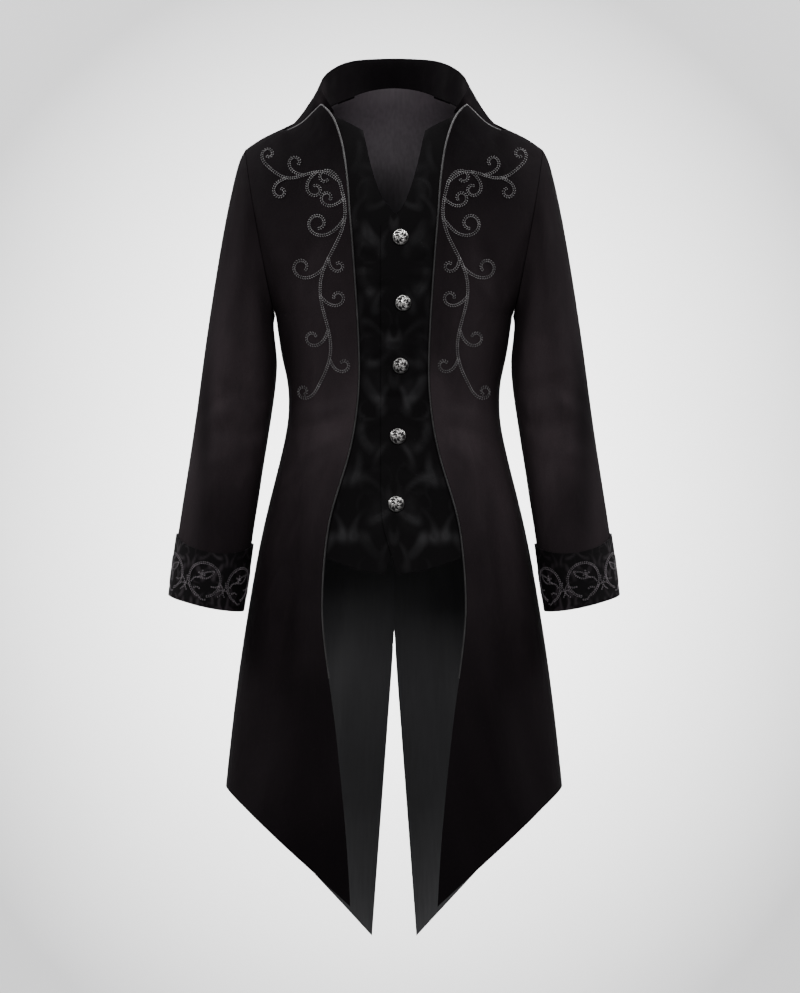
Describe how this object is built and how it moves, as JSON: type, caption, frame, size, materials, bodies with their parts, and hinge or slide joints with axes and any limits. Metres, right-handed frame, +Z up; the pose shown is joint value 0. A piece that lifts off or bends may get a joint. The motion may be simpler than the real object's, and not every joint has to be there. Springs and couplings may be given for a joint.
{
  "type": "gothic tailcoat with false waistcoat front",
  "caption": "Hollow worn-form gothic tailcoat: turned-over collar, open piped fronts over a buttoned waistcoat front, turned-back cuffs and pointed tails split by a back vent.",
  "frame": {"origin": "middle of the neck opening, level with the side neck points, where a wearer's shoulders and neck hold the coat", "axes": "+Z up, -Y towards the front of the coat, +X towards the wearer's left"},
  "size_m": [0.6282, 0.3116, 1.2487],
  "materials": {
    "velvet": "black cotton velvet, soft nap with a faint warm sheen",
    "brocade": "black jacquard brocade, satin leaf scrolls on a matt ground",
    "lining_satin": "dark grey satin lining",
    "piping_satin": "grey satin piping cord",
    "silver": "antiqued silver metal, dark in the recesses"
  },
  "bodies": {
    "root": {"front_left": "velvet", "front_right": "velvet", "back_left": "velvet", "back_right": "velvet", "lining_left": "lining_satin", "lining_right": "lining_satin", "sleeve_left": "velvet", "sleeve_right": "velvet", "cuff_left": "brocade", "cuff_right": "brocade", "collar": "velvet", "vest_left": "brocade", "vest_right": "brocade", "piping_left": "piping_satin", "piping_right": "piping_satin", "button_1": "silver", "button_2": "silver", "button_3": "silver", "button_4": "silver", "button_5": "silver"}
  },
  "joints": []
}
